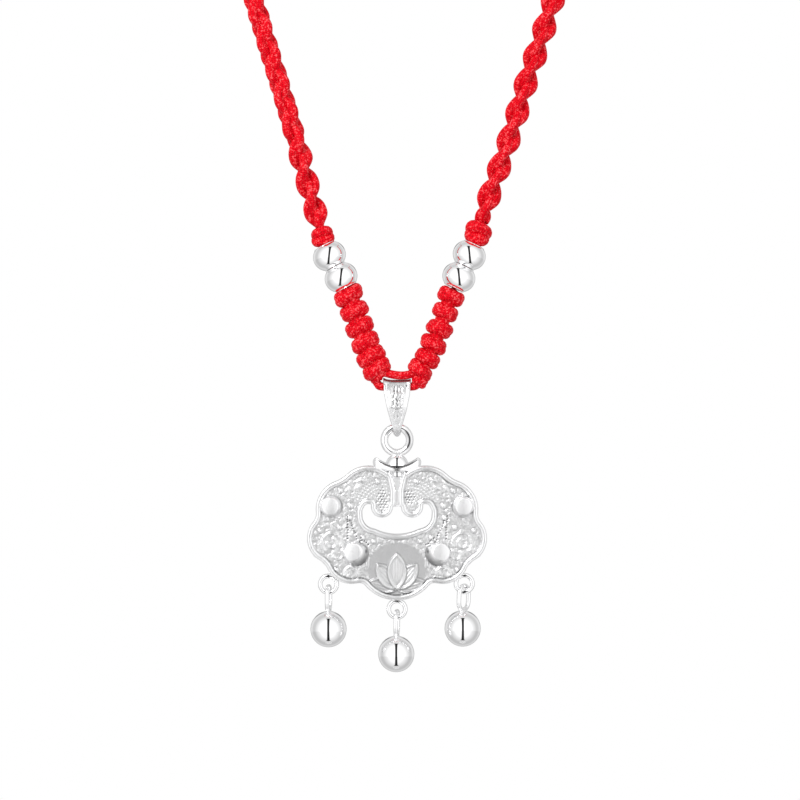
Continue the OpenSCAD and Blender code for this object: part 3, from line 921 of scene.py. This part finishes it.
    for mirror in (-1, 1):
        # Painted shade on each stud's inner side wall, and a painted dark line along its inner edge
        for stud in STUDS:
            share = stud_height(mirror * x, up, stud)
            far_x = (mirror * x - stud[0]) / stud[2]
            far_up = (up - stud[1]) / stud[2]
            far = np.hypot(far_x, far_up)
            bulge = stud[6] * np.sin(np.clip(share, 0, 1) * np.pi / 2) ** 0.8
            crown = 0.16 * (1 - np.clip(far, 0, 1) ** 2)
            on_stud = share > 0
            surface = np.where(on_stud, np.maximum(surface, GROUND + bulge + crown), surface)
            matt = np.where(on_stud, 1, matt)
            wall = on_stud & (share < 0.97)
            inner_wall = np.clip(-0.55 * far_x - 0.8 * far_up, 0, 1) * wall
            seam = ridge((far - 1.02) * stud[2], 0.12) * np.clip(-far_x + 0.25 * far_up, 0, 1) ** 1.5
            shade = np.where(on_stud, stud[7] * inner_wall, groove)
            groove = np.maximum(shade, 0.8 * seam)
        # A painted shadow beside each lower stud
        stud_shadow = np.hypot((mirror * x - STUD_SHADOW[0]) / STUD_SHADOW[2], (up - STUD_SHADOW[1]) / STUD_SHADOW[3])
        groove = np.maximum(groove, STUD_SHADOW[4] * ridge(stud_shadow, 1))

    in_web = web <= 0
    surface = np.where(in_web, GROUND - 0.1, surface)
    matt = np.where(in_web, 1, matt)
    # Painted shade along the edges of the sunk web
    groove = np.where(in_web, 0.25 * ridge(web, 0.08), groove)
    return surface, matt, np.clip(groove, 0, 1)


def on_plate(x, up, out):
    """Places on the plate: across, up and out from its back."""
    return to_chest(places(x, LOCK_T / 2 - out, PLATE_Z + up))


def border_edges(faces):
    """Edges that only one face has, in order."""
    edges = {edge for face in faces for edge in zip(face, face[1:] + face[:1])}
    return sorted((a, b) for a, b in edges if (b, a) not in edges)


def add_plate(build, rng):
    width = np.arange(-14.4, 14.4 + CELL / 2, CELL)
    tall = np.arange(-10.6, 12.0 + CELL / 2, CELL)
    x, up = np.meshgrid(width, tall)
    field = metal_field(x, up)
    across, along = slope(metal_field, x, up)
    snap = np.abs(field) < CELL / 2
    for _ in range(2):
        x = np.where(snap, x - field * across, x)
        up = np.where(snap, up - field * along, up)
        field = np.where(snap, metal_field(x, up), field)
    kept = snap | (field < 0)
    number = np.full(x.shape, -1)
    number[kept] = np.arange(kept.sum())
    corners = np.stack([number[:-1, :-1], number[:-1, 1:], number[1:, 1:], number[1:, :-1]], axis=2)
    faces = [[int(k) for k in cell if k >= 0] for cell in corners.reshape(-1, 4)]
    faces = [face for face in faces if len(face) > 2]
    used = sorted({k for face in faces for k in face})
    again = {k: i for i, k in enumerate(used)}
    faces = [[again[k] for k in face] for face in faces]
    x, up = x[kept][used], up[kept][used]
    edges = border_edges(faces)
    rim = sorted({a for edge in edges for a in edge})
    spot = {k: i for i, k in enumerate(rim)}
    tree = KDTree(len(rim))
    for i, k in enumerate(rim):
        tree.insert((x[k], up[k], 0), i)
    tree.balance()
    inside = np.array([tree.find((a, b, 0))[2] for a, b in zip(x, up)])
    surface, matt, groove = lock_relief(x, up, inside, rng)
    rx, rup = x[rim], up[rim]
    surface[rim] = GROUND
    slope_x, slope_up = slope(metal_field, rx, rup)
    low = np.full(len(rim), BACK_BEVEL)
    bx, bup = rx - BACK_BEVEL * slope_x, rup - BACK_BEVEL * slope_up
    front = len(x)
    points = np.vstack([on_plate(x, up, surface), on_plate(rx, rup, low), on_plate(bx, bup, 0 * low)])
    walls = []
    for a, b in edges:
        wall_a, wall_b = front + spot[a], front + spot[b]
        back_a, back_b = wall_a + len(rim), wall_b + len(rim)
        walls.append([b, a, wall_a, wall_b])
        walls.append([wall_b, wall_a, back_a, back_b])
    flat = delaunay_2d_cdt([(float(a), float(b)) for a, b in zip(bx, bup)],
                           [(spot[a], spot[b]) for a, b in edges], [], 0, 1e-6)
    verts, sources = flat[0], flat[3]
    for triangle in flat[2]:
        cx = sum(verts[k][0] for k in triangle) / 3
        cy = sum(verts[k][1] for k in triangle) / 3
        if metal_field(np.array([cx]), np.array([cy]))[0] < 0 and all(sources[k] for k in triangle):
            walls.append([front + len(rim) + sources[k][0] for k in reversed(triangle)])
    rest = np.zeros(2 * len(rim))
    build.add(points, faces + walls, matt=np.concatenate([matt, rest + BACK_MATT]),
              groove=np.concatenate([groove, rest]))


RING_STEPS = 72
RING_SIDES = 48
EYELET_SIDES = 28
# Painted dark reflections on the ring's front: middle and half reach round the ring, middle and half width
# round the wire, how dark
RING_REFLECTIONS = [[4, 62, 268, 21, 1], [132, 28, 254, 18, 0.6]]


def upright_ring(across, up, outer, wire):
    """Points of a ring that faces the viewer, in the middle of the plate's thickness."""
    turn = full_turn(RING_STEPS)
    r = (outer - wire) / 2
    ring = on_plate(across + r * np.cos(turn), up + r * np.sin(turn), LOCK_T / 2)
    return ring, on_plate(across, up, LOCK_T / 2)


def off_angle(angle, middle):
    return np.abs((angle - middle + 180) % 360 - 180)


def ring_marks():
    """How matt the ring is, and where dark reflections are painted on it, point by point."""
    along = (360 * np.arange(RING_STEPS) / RING_STEPS)[:, None]
    around = (360 * np.arange(RING_SIDES) / RING_SIDES)[None]
    dark = np.zeros((RING_STEPS, RING_SIDES))
    for middle, reach, wire_middle, wire_half, shade in RING_REFLECTIONS:
        there = step(reach - off_angle(along, middle), 0, reach / 2)
        dark = np.maximum(dark, shade * there * ridge(off_angle(around, wire_middle), wire_half))
    # The solder at its foot is dull
    dull = np.repeat(step(35 - off_angle(along, 270), 0, 20), RING_SIDES, axis=1)
    return dull.ravel(), dark.ravel()


CAP_HALF = 3.76
CAP_T = 2.9
CAP_TOP = 12.33
CAP_END = 10.85
CAP_SOLE = 10.0
CAP_DIP = 11.15
# How much slimmer the cap is at its tips
CAP_SLIM = 0.6
CAP_MATT = 0.3
# How far the groove lies under the lip's top
LIP_DROP = 0.27
# Where the cap's tips begin to close
CAP_TIP = 3.0
DOME_UP = 11.05
DOME_R = 1.78
# The dome's depth, as a share of its width
DOME_DEEP = 0.8
RING_UP = 15.0
RING_D = 5.15
RING_WIRE = 1.2


def squarish(value, power):
    return np.sign(value) * np.abs(value) ** power


def add_cap(build):
    """A boat with a thick lip round its deck, and a groove under the lip with painted shade in it."""
    stations = 61
    share = np.linspace(-1, 1, stations)
    x = CAP_HALF * np.sin(share * np.pi / 2)
    sole = CAP_SOLE + (CAP_END - CAP_SOLE) * (x / CAP_HALF) ** 2
    deck_half = 0.85 * CAP_HALF
    deck = CAP_DIP + (CAP_TOP - CAP_DIP) * np.clip(np.abs(x) / deck_half, 0, 1) ** 2
    past_tip = np.clip((np.abs(x) - CAP_TIP) / (CAP_HALF - CAP_TIP), 0, 1)
    end = np.sqrt(np.clip(1 - past_tip ** 2.4, 0.0004, 1))
    turn = full_turn(96)
    lift = squarish(np.sin(turn), 0.75)
    out = squarish(np.cos(turn), 0.45)
    middle, half = (deck + sole) / 2, (deck - sole) / 2
    under = ridge(half[:, None] * (1 - lift) - LIP_DROP, 0.12)
    slim = 1 - CAP_SLIM * (x / CAP_HALF) ** 2
    thick = CAP_T / 2 * (end * slim)[:, None] * (1 - 0.1 * under)
    points = on_plate(x[:, None], middle[:, None] + (half * end)[:, None] * lift, LOCK_T / 2 + thick * out)
    # Painted shade in the groove under the lip, fading towards the tips
    dark = under * step(1 - np.abs(x[:, None]) / CAP_HALF, 0.05, 0.4)
    build.add(points.reshape(-1, 3), skin(stations, len(turn), False, True), matt=CAP_MATT,
              groove=dark.ravel())


def add_dome(build):
    turn = full_turn(72)
    tall = np.linspace(0, np.pi / 2 - 0.02, 28)[:, None]
    r = DOME_R * np.cos(tall)
    up = DOME_UP + DOME_R * np.sin(tall)
    points = to_chest(places(r * np.cos(turn), DOME_DEEP * r * np.sin(turn), PLATE_Z + up))
    build.add(points.reshape(-1, 3), skin(len(tall), len(turn), False, True))


def add_collar(build):
    """The short neck between the plate and the cap, with a painted shadow under the cap and a fainter
    painted shade line near its foot.
    """
    tall = np.array([9.3, 9.4, 9.46, 9.52, 9.6, 9.8, 9.95, 10.05, 10.15, 10.4])
    half = np.array([0.5, 0.62] + [0.67] * 8)[:, None]
    turn = full_turn(32)
    out = LOCK_T / 2 + 1.1 * half ** 0.3 * squarish(np.sin(turn), 0.6)
    points = on_plate(half * squarish(np.cos(turn), 0.6), tall[:, None], out)
    # A painted shadow under the cap and a fainter painted shade line near the foot
    dark = np.clip(0.8 * ridge(tall - 10.1, 0.1) + 0.4 * ridge(tall - 9.44, 0.06), 0, 1)
    build.add(points.reshape(-1, 3), skin(len(tall), len(turn), False), groove=np.repeat(dark, len(turn)))


def add_lock():
    rng = np.random.default_rng(SEED + 1)
    build = Build()
    add_plate(build, rng)
    add_cap(build)
    add_dome(build)
    add_collar(build)
    points, middle = upright_ring(0, RING_UP, RING_D, RING_WIRE)
    sweep_loop(build, points, middle, RING_WIRE / 2, RING_SIDES, *ring_marks())
    for row in DROPS:
        points, middle = upright_ring(*row[1:3], EYELET_D, EYELET_WIRE)
        sweep_loop(build, points, middle, EYELET_WIRE / 2, EYELET_SIDES)
    piece("lock_silver", build, "pendant", SILVER_LOCK, ["lock"], sharp=60)


add_lock()


# Bail

BAIL_STEPS = 260
BAIL_COLUMNS = 61
# The bail from the side: how far down, half depth
BAIL_SIDE = [[0, 1.05], [3.2, 1.5], [6.48, 1.3]]
BAIL_WALL = 0.3
BAIL_FOOT = 0.55
BAIL_HALF = 2.15
# Half width of the bail: up, share of the top's
BAIL_FRONT = [[-6.75, 0.27], [-6, 0.38], [-3.65, 0.7], [-1.2, 0.93], [1.05, 1]]
BAIL_TIP = -7.22
BAIL_TIP_R = 0.58
# How far the front stands out along its middle, as a share of its half width
BAIL_CROWN = 0.14
# How far its left and right top corners flare
BAIL_FLARE = [0.34, 0.14]
# Chased strokes on the front: first point, last point, how dark
STROKES = [[-0.39, -0.05, -0.4, -0.7, 0.9], [0.13, -0.2, 0.04, -0.82, 0.85], [0, 0.1, 0.45, -0.05, 0.4],
           [0.45, -0.05, 0.6, -0.9, 0.5], [-0.3, -1, -0.56, -1.8, 0.75], [0.6, -1.4, 0.3, -1.9, 0.5],
           [-0.15, -1.95, 0.12, -2.36, 0.9], [-0.52, -2.3, -0.6, -2.95, 0.6], [-0.07, -2.65, 0.12, -3, 0.8],
           [0.45, -2.5, 0.48, -3.4, 0.35], [-0.75, -3.3, -0.1, -3.55, 0.4], [-0.1, -3.55, 0.5, -3.4, 0.4],
           [-0.3, -4.1, -0.35, -4.9, 0.3], [0.05, -4.55, 0.12, -4.75, 0.6], [0.35, -4.15, 0.6, -4.6, 0.3],
           [1.43, 0.14, 1.47, 0.06, 1]]
STROKE_HALF = 0.16
STROKE_DEEP = 0.1
LEAF_DEEP = 0.06
# How deep the worked field lies between the plain borders, and how round the edges of the sheet are
FIELD_DEEP = 0.06
EDGE_R = 0.14
# Where the front begins to stand out, below the bail's axis
CROWN_TOP = -0.3
# How much darker the front is: all over, and with painted shade more so near its foot and on the bend at
# its top
BAIL_SHADE = [0.14, 0.08, 0.35]
# Faint curved strokes at both sides: across, up, radius, first angle, last angle
LEAVES = [[1.15, -0.6, 0.5, 120, 260], [1.1, -1.7, 0.45, 110, 250], [1.0, -2.7, 0.4, 110, 250],
          [0.85, -3.7, 0.34, 110, 250]]


def bail_profile(shrink, foot, count):
    """The bail's loop seen from the side, with its radii made less, at the foot by another amount."""
    less = [shrink] * (len(BAIL_SIDE) - 1) + [foot]
    rows = [[down, r - cut] for (down, r), cut in zip(BAIL_SIDE, less)]
    turns = [90.0]
    for (down_a, r_a), (down_b, r_b) in zip(rows[:-1], rows[1:]):
        turns.append(math.degrees(math.asin((r_b - r_a) / (down_b - down_a))))
    turns.append(-90.0)
    half = np.vstack([arc(0, -down, r, turns[i], turns[i + 1], 16) for i, (down, r) in enumerate(rows)])
    loop = np.vstack([half * [-1, 1], half[::-1]])
    loop = np.vstack([loop, loop[:1]])
    gaps = np.concatenate([[0], np.cumsum(np.hypot(*np.diff(loop, axis=0).T))])
    s = np.linspace(0, gaps[-1], count, endpoint=False)
    return np.stack([np.interp(s, gaps, loop[:, 0]), np.interp(s, gaps, loop[:, 1])], axis=1)


def bail_half(up):
    side = BAIL_HALF * np.interp(up, *np.array(BAIL_FRONT).T)
    tip = np.sqrt(np.clip(BAIL_TIP_R ** 2 - (up - BAIL_TIP) ** 2, 0.02, None))
    return np.where(up < BAIL_TIP, tip, np.maximum(side, BAIL_TIP_R))


def add_bail():
    count, columns = BAIL_STEPS, BAIL_COLUMNS
    outer = bail_profile(0, 0, count)
    inner = bail_profile(BAIL_WALL, BAIL_FOOT, count)
    share = np.linspace(-1, 1, columns)
    direction = np.roll(outer, -1, axis=0) - np.roll(outer, 1, axis=0)
    normal = unit(np.stack([direction[:, 1], -direction[:, 0]], axis=1))
    normal = np.where(np.sum(normal * (outer - [0, -3.4]), axis=1, keepdims=True) < 0, -normal, normal)
    half = bail_half(outer[:, 1])
    x = half[:, None] * share
    up = np.broadcast_to(outer[:, 1:], x.shape)
    front = np.broadcast_to((outer[:, :1] < 0).astype(float), x.shape)
    edge = half[:, None] - np.abs(x)
    border = step(0.5 - edge, 0, 0.12) * step(up, -6.9, -6.2)
    worked = front * step(up, -6.4, -5.6) * step(0.7 - up, 0, 0.4)
    lines = np.zeros(x.shape)
    for row in STROKES:
        stroke = ridge(line_distance(x, up, [row[:2], row[2:4]]), STROKE_HALF)
        lines = np.maximum(lines, row[4] * stroke)
    soft_lines = np.zeros(x.shape)
    for mirror in (-1, 1):
        for row in LEAVES:
            soft_lines = np.maximum(soft_lines, arc_ridge(mirror * x, up, row, 0.09))
    soft_lines = soft_lines * step(edge, 0.35, 0.5)
    round_off = -EDGE_R * (1 - np.sqrt(1 - np.clip(1 - edge / EDGE_R, 0, 1) ** 2))
    crowned = front * step(up, -7.3, -6.5) * step(CROWN_TOP - up, 0, 1.2)
    crown = BAIL_CROWN * half[:, None] * (1 - share ** 2) * crowned
    flare = np.where(x < 0, *BAIL_FLARE) * share ** 4 * step(up, 0.1, 0.8)
    chased = FIELD_DEEP * (1 - border) + STROKE_DEEP * lines + LEAF_DEEP * soft_lines
    proud = crown + flare - worked * chased + round_off
    shift = proud[:, :, None] * normal[:, None]
    points = places(x, outer[:, :1] + shift[:, :, 0], outer[:, 1:] + shift[:, :, 1]).reshape(-1, 3)
    low = front * step(-up, 3.0, 4.4)
    # Painted shade near the foot of the front and on the bend at its top, over an even darkening of the
    # whole front
    shade = BAIL_SHADE[0] + BAIL_SHADE[1] * low + BAIL_SHADE[2] * step(up, 0.35, 0.7)
    dark = np.clip(np.maximum(worked * (lines + 0.2 * soft_lines), front * shade), 0, 1)
    few = np.linspace(-1, 1, 9)
    inside = places(bail_half(inner[:, 1])[:, None] * few, inner[:, :1], inner[:, 1:]).reshape(-1, 3)
    # The walls join the left and right edges of the outside, in rows, to those of the inside
    left = columns * np.arange(count)
    inner_left = len(points) + len(few) * np.arange(count)
    walls = []
    for a, b in ((left, inner_left), (inner_left + len(few) - 1, left + columns - 1)):
        walls += np.stack([a, b, np.roll(b, -1), np.roll(a, -1)], axis=1).tolist()
    faces = grid_faces(count, columns, True, False)[0][:, ::-1].tolist()
    faces += (grid_faces(count, len(few), True, False)[0] + len(points)).tolist()
    plain = np.zeros(len(inside))
    build = Build()
    build.add(to_chest(np.vstack([points, inside])), faces + walls,
              matt=np.concatenate([(front * (0.3 + 0.7 * low)).ravel(), plain]),
              groove=np.concatenate([dark.ravel(), plain]))
    piece("bail_silver", build, "bail", SILVER_BAIL, ["bail"])


add_bail()


# Floor, light and surroundings

FLOOR_Z = -1200.0
FLOOR_R = 250.0
# The light on the front: place, diameter, power
KEY_PLACE = [-160, -320, 60]
KEY_SIZE = 120
KEY_POWER = 0.5


def add_floor():
    turn = full_turn(96)
    points = places(FLOOR_R * np.cos(turn), FLOOR_R * np.sin(turn), FLOOR_Z)
    mesh = bpy.data.meshes.new("floor")
    mesh.from_pydata((points * MM).tolist(), [], [list(range(len(turn)))])
    mesh.materials.append(pale_floor())
    floor = bpy.data.objects.new("floor", mesh)
    bpy.context.collection.objects.link(floor)


def add_key():
    data = bpy.data.lights.new("key", "AREA")
    data.shape = "DISK"
    data.size = KEY_SIZE * MM
    data.energy = KEY_POWER
    light = bpy.data.objects.new("key", data)
    bpy.context.collection.objects.link(light)
    light.location = Vector(KEY_PLACE) * MM
    light.rotation_euler = (Vector(CHEST) - Vector(KEY_PLACE)).to_track_quat("-Z", "Y").to_euler()


# The white tent round the piece: its brightness from the camera's side to the far side
TENT = [(0.0, 1.0), (0.16, 1.0), (0.28, 0.8), (0.42, 0.65), (0.56, 0.5), (0.7, 0.5), (0.84, 0.64),
        (0.94, 0.54), (1.0, 0.28)]
TENT_POWER = 1.3
# How much darker it is towards the floor, where that begins and how fast it comes
TENT_LOW = 0.14
LOW_START = -0.15
LOW_RATE = 1.5
# The dark slit in it that the camera looks through, as a direction: half width, reach, softness
SLIT_HALF = 0.12
SLIT_REACH = -0.24
SLIT_SOFT = 0.035
# Where the slit begins to widen, and how fast
SLIT_FLARE = -0.36
SLIT_WIDENS = 0.7
# The dark seams at its upper corners: their place from front to back and their half width, where they
# begin above and beside the middle, how fast they darken there, and how dark they are
SEAM_Y = 0.87
SEAM_HALF = 0.09
SEAM_UP = 0.22
SEAM_SIDE = 0.16
SEAM_RATE = 8.0
SEAM_DARK = 0.8


def add_world():
    """A tent that lights the piece and is mirrored in it, while the camera sees plain white."""
    world = bpy.data.worlds.new("tent")
    bpy.context.scene.world = world
    world.use_nodes = True
    nodes = world.node_tree.nodes
    nodes.clear()
    split = nodes.new("ShaderNodeSeparateXYZ")
    connect(nodes.new("ShaderNodeTexCoord").outputs["Generated"], split.inputs[0])
    x, y, z = split.outputs
    side = calc("ABSOLUTE", x)
    widened = times(calc("MAXIMUM", minus(y, SLIT_FLARE), 0.0), SLIT_WIDENS)
    outside = minus(side, calc("ADD", widened, SLIT_HALF))
    beyond = calc("MAXIMUM", outside, minus(y, SLIT_REACH))
    lit = between(calc("MULTIPLY_ADD", beyond, 0.5 / SLIT_SOFT, 0.5), 0.02, 1.0)
    off_seam = times(calc("ABSOLUTE", minus(y, SEAM_Y)), 1 / SEAM_HALF)
    corner = times(calc("MINIMUM", minus(z, SEAM_UP), minus(side, SEAM_SIDE)), SEAM_RATE)
    seam = between(calc("MINIMUM", minus(1.0, off_seam), corner), 0.0, SEAM_DARK)
    low = between(times(minus(LOW_START, z), LOW_RATE), 0.0, TENT_LOW)
    for dark in (seam, low):
        lit = times(lit, minus(1.0, dark))
    light = nodes.new("ShaderNodeBackground")
    light.inputs[1].default_value = TENT_POWER
    tent = ramp(calc("MULTIPLY_ADD", y, 0.5, 0.5), TENT)
    connect(mix(lit, (0, 0, 0, 1), tent), light.inputs[0])
    seen = nodes.new("ShaderNodeBackground")
    seen.inputs[0].default_value = (1, 1, 1, 1)
    choose = nodes.new("ShaderNodeMixShader")
    camera_ray = nodes.new("ShaderNodeLightPath").outputs["Is Camera Ray"]
    for value, socket in zip((camera_ray, light.outputs[0], seen.outputs[0]), choose.inputs):
        connect(value, socket)
    connect(choose.outputs[0], nodes.new("ShaderNodeOutputWorld").inputs[0])


add_floor()
add_world()
add_key()
bpy.context.scene.view_settings.view_transform = "Standard"
